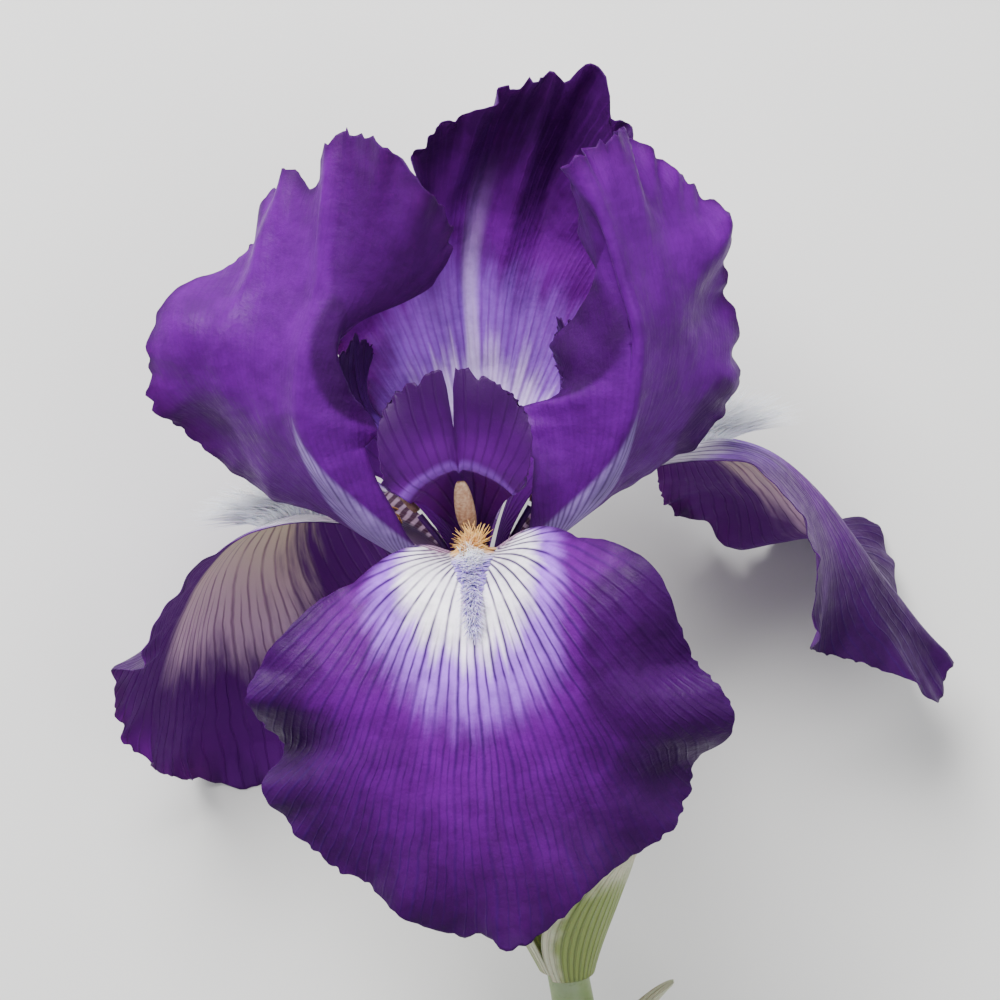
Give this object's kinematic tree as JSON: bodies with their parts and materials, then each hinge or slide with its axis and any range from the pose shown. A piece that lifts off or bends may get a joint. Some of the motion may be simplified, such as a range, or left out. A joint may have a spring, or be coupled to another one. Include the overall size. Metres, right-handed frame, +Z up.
{
  "type": "bearded iris flower",
  "caption": "A cut bearded iris flower on a short stem, violet with white beards and haft, lying on its back.",
  "frame": {"origin": "the middle of the bottom of the bounding box, on the surface that the flower lies on", "axes": "+Z up; +Y along the stem towards the top of the flower; +X to the right of someone at the stem end who looks along +Y from above"},
  "size_m": [0.1328, 0.2324, 0.0948],
  "materials": {
    "violet_petal": "soft satin petal, white and veined towards the throat",
    "style_violet": "soft satin, pale lilac at the foot",
    "beard": "dense soft hairs, white with yellow at the foot",
    "filament": "smooth, pale lilac-white",
    "anther": "mealy, cream to tan",
    "tube_green": "smooth, waxy",
    "stem_green": "smooth, with a grey-green bloom",
    "spathe_green": "thin, leafy, papery at the edge",
    "dry_bract": "dry and papery"
  },
  "bodies": {
    "root": {"fall_front": "violet_petal", "beard_front": "beard", "filament_front": "filament", "anther_front": "anther", "style_arm_front": "style_violet", "fall_right": "violet_petal", "beard_right": "beard", "filament_right": "filament", "anther_right": "anther", "style_arm_right": "style_violet", "fall_left": "violet_petal", "beard_left": "beard", "filament_left": "filament", "anther_left": "anther", "style_arm_left": "style_violet", "standard_back": "violet_petal", "standard_left": "violet_petal", "standard_right": "violet_petal", "style_column": "style_violet", "perianth_tube": "tube_green", "ovary": "tube_green", "stem": "stem_green", "spathe_outer": "spathe_green", "spathe_inner": "spathe_green", "dry_bract": "dry_bract"}
  },
  "joints": []
}
